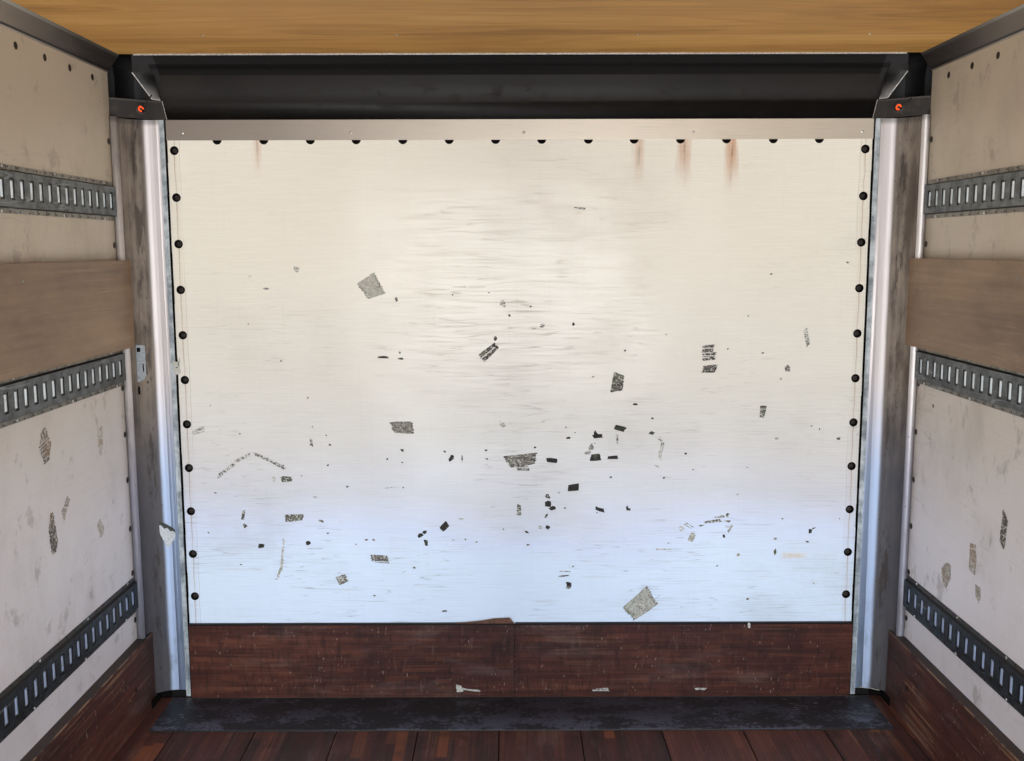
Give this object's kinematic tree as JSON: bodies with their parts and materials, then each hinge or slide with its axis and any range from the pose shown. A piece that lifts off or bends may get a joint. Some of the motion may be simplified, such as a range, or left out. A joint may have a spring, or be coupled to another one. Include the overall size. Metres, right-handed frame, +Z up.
{
  "type": "box truck cargo body",
  "caption": "Enclosed cargo body for a box truck: plank floor, white panel walls with slotted tie-down tracks, plywood ceiling and two rear doors folded open.",
  "frame": {"origin": "under the middle of the body, in the plane of the long sills' underside, on which it stands", "axes": "+Y towards the front wall, +X to the right-hand side, +Z up"},
  "size_m": [2.704, 4.958, 2.351],
  "materials": {
    "chassis_steel": "worn black paint",
    "aluminium": "satin, scuffed",
    "galvanised": "galvanised, dull",
    "floor_wood": "worn hardwood",
    "scuff_wood": "varnished plywood, scuffed",
    "black_steel": "scuffed black steel",
    "black_coat": "satin black",
    "front_lining": "glossy white, scratched",
    "side_lining": "dull white, scratched",
    "ceiling_ply": "bare plywood",
    "roof_white": "white",
    "track_zinc": "weathered zinc",
    "frame_paint": "white paint",
    "zinc_hardware": "zinc plated",
    "red_lens": "ribbed lens",
    "amber_lens": "ribbed lens",
    "door_panel": "white"
  },
  "bodies": {
    "cargo_body": {"long_sill_left": "chassis_steel", "long_sill_right": "chassis_steel", "crossmembers": "chassis_steel", "bottom_rail_left": "aluminium", "bottom_rail_right": "aluminium", "front_sill": "aluminium", "rear_sill": "chassis_steel", "floor_boards": "floor_wood", "threshold_plate": "black_steel", "front_panel": "front_lining", "front_strip": "aluminium", "front_kick_boards": "floor_wood", "corner_post_left": "aluminium", "corner_post_right": "aluminium", "edge_strips": "galvanised", "front_header": "black_coat", "corner_cap_left": "black_coat", "corner_cap_right": "black_coat", "top_rail_left": "aluminium", "top_rail_right": "aluminium", "ceiling": "ceiling_ply", "roof_panel": "roof_white", "side_panel_left": "side_lining", "side_panel_right": "side_lining", "scuff_board_left": "scuff_wood", "scuff_board_right": "scuff_wood", "side_kick_board_left": "floor_wood", "side_kick_board_right": "floor_wood", "tie_down_tracks_left": "track_zinc", "tie_down_tracks_right": "track_zinc", "rear_post_left": "frame_paint", "rear_post_right": "frame_paint", "rear_header": "frame_paint", "hinge_lugs": "zinc_hardware", "keepers": "zinc_hardware", "tail_lamps": "red_lens", "rear_markers": "red_lens", "front_markers": "amber_lens"},
    "left_door": {"door_left": "door_panel", "hinge_straps_left": "zinc_hardware", "lock_rod_left": "zinc_hardware", "rod_guides_left": "zinc_hardware"},
    "right_door": {"door_right": "door_panel", "hinge_straps_right": "zinc_hardware", "lock_rod_right": "zinc_hardware", "rod_guides_right": "zinc_hardware"}
  },
  "joints": [
    {"name": "left_door_hinge", "type": "hinge", "parent": "cargo_body", "child": "left_door", "pos_m": [-1.296, -2.467, 1.226], "axis": [0, 0, 1], "range_deg": [0, 270]},
    {"name": "right_door_hinge", "type": "hinge", "parent": "cargo_body", "child": "right_door", "pos_m": [1.296, -2.467, 1.226], "axis": [0, 0, -1], "range_deg": [0, 270]}
  ]
}
